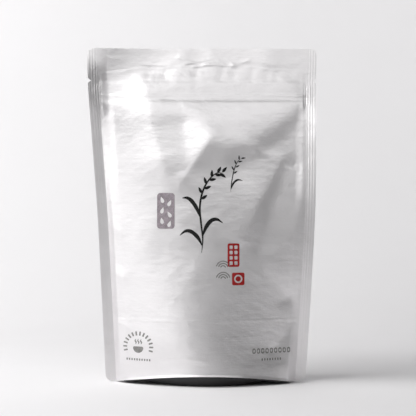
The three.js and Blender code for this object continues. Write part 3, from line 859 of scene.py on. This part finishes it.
GRAIN_ROOT = 0.3  # a grain starts this far from the stem
GRAIN_LEAN = 0.75  # and leans away from it by this, in radians


def ear_of_rice(stem, leaves, grains, half, grain_length):
    """A stem with leaves, and grains by turns on its left and right up to its tip, as brush strokes."""
    strokes = [tapered(stem, 0.5 * half)] + [tapered(leaf, half) for leaf in leaves]
    for i in range(grains):
        at = 0.5 + 0.5 * i / (grains - 1)
        x, z = point_along(stem, at)
        x0, z0 = point_along(stem, at - 0.05)
        x1, z1 = point_along(stem, min(1, at + 0.05))
        turn = math.atan2(z1 - z0, x1 - x0) + (GRAIN_LEAN if i % 2 else -GRAIN_LEAN)
        steps = np.linspace(GRAIN_ROOT, grain_length, 5)
        strokes.append(tapered([(x + d * math.cos(turn), z + d * math.sin(turn)) for d in steps], 0.75 * half))
    return strokes


BRUSH_STROKES = brush_strokes_tree()
PRINTED_PANEL = printed_panel_tree()
MARK_ROW = mark_row_tree()

black = printing_ink("black_printing_ink", 0x141414, 0x1E1E1E)
big_ear = ear_of_rice(
    stem=[(-3, 90.5), (-2.2, 100), (-3.4, 111), (-4.2, 122), (-2.4, 132), (1.6, 140), (6.8, 145), (11, 145.5)],
    leaves=[
        [(-2.4, 95), (-5.5, 101), (-10, 105), (-14, 105.4), (-17.8, 102.5)],
        [(-2.6, 101), (0, 108), (3.6, 112.5), (7.6, 113.4), (11.6, 110.8)],
        [(-3.8, 114), (-6.4, 121), (-9.8, 126), (-13, 128.2), (-16.4, 128)],
    ],
    grains=10,
    half=1.35,
    grain_length=5.2,
)
small_ear = ear_of_rice(
    stem=[(17, 132), (17.4, 137), (18.2, 142), (19.4, 147.5), (21.4, 152.5), (24, 155.5)],
    leaves=[[(17.2, 134), (19, 138.4), (22, 140.6), (25.3, 140)]],
    grains=7,
    half=0.7,
    grain_length=3.4,
)
print_piece("ink_black", black, [print_run(BRUSH_STROKES, big_ear + small_ear, black)])

mauve = printing_ink("mauve_grey_printing_ink", 0x7F777C, 0xA39AA0)
# A panel with seeds left bare, each at x, z with a lean
seeds = [
    (-30.2, 126.8, 20),
    (-25, 124.6, -28),
    (-30, 119.6, -18),
    (-25.2, 116.8, 32),
    (-30.3, 112.4, 12),
    (-25, 110.4, -20),
]
panel = [rounded_box(-33.6, 107, -21.5, 131.5, 2)]
panel += [seed_outline(x, z, 4.6, 2.6, lean) for x, z, lean in seeds]
print_piece("ink_mauve", mauve, [print_run(PRINTED_PANEL, panel, mauve, closed=True)])

red = printing_ink("vermilion_printing_ink", 0x8E1B1C, 0xA12A28)
# A lattice of small windows, and a square with a ring in it
windows = [(x, z) for x in (16.1, 19.4) for z in (82.3, 85.9, 89.5, 93.1)]
lattice = [rounded_box(14.8, 81, 22.9, 97, 1.1)]
lattice += [rounded_box(x, z, x + 2.2, z + 2.5, 0.4) for x, z in windows]
square = [rounded_box(17.8, 68.5, 26.3, 77, 0.9), ring(22.05, 72.75, 2.9), ring(22.05, 72.75, 1.8)]
print_piece("ink_red", red, [print_run(PRINTED_PANEL, lattice + square, red, closed=True)])

grey = printing_ink("grey_printing_ink", 0x7A7977, 0x949391)
# Two fans of arcs, a steaming bowl under a sun of rays, and rows of ovals and dots
fans = [arc(11.7, z, radius, 15, 165, 12) for z in (72.6, 80.2) for radius in (1.7, 3.2, 4.7)]
bowl = arc(-46.5, 25.4, 3.6, 180, 360, 16) + [(-43.3, 26.2), (-49.7, 26.2)]
steam = [[(x, 27.8), (x + 0.5, 29), (x - 0.2, 30.2), (x + 0.3, 31.4)] for x in (-48.4, -46.5, -44.6)]
rays = arc(-46.5, 26, 9.2, -16, 196, 40)
ray_size = dict(Spacing=2.5 * MM, Width=1.1 * MM, Height=2.8 * MM)
oval_size = dict(Spacing=3 * MM, Width=2.2 * MM, Height=3.6 * MM, Corner=1 * MM, Hole=0.5)
dot_size = dict(Spacing=1.7 * MM, Width=0.9 * MM, Height=1.5 * MM)
print_piece(
    "ink_grey",
    grey,
    [
        print_run(BRUSH_STROKES, [[(x, z, 0.36) for x, z in fan] for fan in fans], grey, Unevenness=0.0),
        print_run(BRUSH_STROKES, [tapered(line, 0.45) for line in steam], grey, Step=0.4 * MM),
        print_run(PRINTED_PANEL, [bowl], grey, closed=True),
        print_run(MARK_ROW, [rays], grey, **ray_size),
        print_run(MARK_ROW, [[(-54.4, 17.2), (-38.4, 17.2)]], grey, **dot_size),
        print_run(MARK_ROW, [[(32.8, 23.4), (57, 23.4)]], grey, **oval_size),
        print_run(MARK_ROW, [[(38.4, 17.6), (51.2, 17.6)]], grey, **dot_size),
    ],
)


# The studio, in metres

SWEEP_WIDTH = 3.0
SWEEP_FRONT, SWEEP_BACK = -1.6, 0.75
SWEEP_RADIUS = 0.45
SWEEP_HEIGHT = 1.6
SWEEP_LEVEL = -0.05 * MM  # just under the gusset, which lies on it


def paper_sweep():
    """A roll of paper that runs over the table and curves up behind the pouch."""
    turn = np.linspace(0, math.pi / 2, 24)
    y = np.concatenate([[SWEEP_FRONT], SWEEP_BACK - SWEEP_RADIUS + SWEEP_RADIUS * np.sin(turn), [SWEEP_BACK]])
    z = np.concatenate([[0], SWEEP_RADIUS * (1 - np.cos(turn)), [SWEEP_HEIGHT]]) + SWEEP_LEVEL
    half = SWEEP_WIDTH / 2
    points = [(side * half / MM, py / MM, pz / MM) for py, pz in zip(y, z) for side in (-1, 1)]
    faces = [(2 * i, 2 * i + 1, 2 * i + 3, 2 * i + 2) for i in range(len(y) - 1)]
    return mesh_piece("paper_sweep", points, faces, sweep_paper(), sharp=80)


paper_sweep()


def round_pouch(azimuth, elevation, distance):
    """A place round the pouch. Azimuth 0 is the camera's side, and it grows towards the camera's right."""
    a, e = math.radians(azimuth), math.radians(elevation)
    towards = Vector((math.sin(a) * math.cos(e), -math.cos(a) * math.cos(e), math.sin(e)))
    return POUCH_MIDDLE + distance * towards


def softbox(name, place, aim, width, height, radiance):
    """A rectangular softbox, equally bright all over its face."""
    data = bpy.data.lights.new(name, "AREA")
    data.shape = "RECTANGLE"
    data.size, data.size_y = width, height
    data.energy = radiance * math.pi * width * height  # watts, for the same brightness at any size
    light = bpy.data.objects.new(name, data)
    bpy.context.scene.collection.objects.link(light)
    light.location = place
    light.rotation_euler = (place - aim).to_track_quat("Z", "Y").to_euler()


POUCH_MIDDLE = Vector((0, 0, 0.12))
softbox("key_softbox", round_pouch(-60, 48, 1.0), POUCH_MIDDLE, width=0.56, height=0.4, radiance=11)
softbox("front_left_softbox", round_pouch(-56, 13, 1.1), POUCH_MIDDLE, width=1.3, height=0.65, radiance=1.04)
softbox("top_softbox", round_pouch(4, 40, 1.1), POUCH_MIDDLE, width=1.35, height=0.64, radiance=1.06)
softbox("overhead_softbox", round_pouch(-165, 62, 1.1), POUCH_MIDDLE, width=0.8, height=0.8, radiance=0.85)
softbox("right_fill", round_pouch(92, 8, 1.1), POUCH_MIDDLE, width=0.6, height=0.6, radiance=0.25)
# Two more light the sweep behind the pouch, and are aimed at it
backdrop_left, backdrop_right = Vector((-0.25, 0.75, 0.5)), Vector((0.4, 0.75, 0.6))
softbox("backdrop_left_light", Vector((-0.9, 0.0, 0.6)), backdrop_left, width=0.5, height=0.5, radiance=6.4)
softbox("backdrop_right_light", Vector((0.65, 0.25, 0.5)), backdrop_right, width=0.4, height=0.5, radiance=2.4)

# The room is dim, and dark towards its ceiling
world = bpy.data.worlds.new("studio_room")
bpy.context.scene.world = world
world.use_nodes = True
room = world.node_tree
coordinate = add(room, "ShaderNodeTexCoord")
direction = add(room, "ShaderNodeSeparateXYZ", {0: coordinate.outputs["Generated"]})
walls = spread(room, direction.outputs["Z"], low=0.2, high=0.0, low_from=0.1, high_from=0.4)
room.links.new(walls, room.nodes["Background"].inputs["Strength"])
room.nodes["Background"].inputs["Color"].default_value = (1, 1, 1, 1)
bpy.context.scene.view_settings.view_transform = "Standard"

# The camera stands level with the middle of the pouch
CAMERA_PLACE = (1.4 * MM, -900 * MM, 121.2 * MM)
SENSOR_WIDTH = 36
FOCAL_PIXELS = 1288
IMAGE_PIXELS = 416
camera_data = bpy.data.cameras.new("camera")
camera_data.sensor_width = SENSOR_WIDTH
camera_data.lens = SENSOR_WIDTH * FOCAL_PIXELS / IMAGE_PIXELS
camera = bpy.data.objects.new("camera", camera_data)
bpy.context.scene.collection.objects.link(camera)
camera.location = CAMERA_PLACE
camera.rotation_euler = (math.pi / 2, 0, 0)
bpy.context.scene.camera = camera
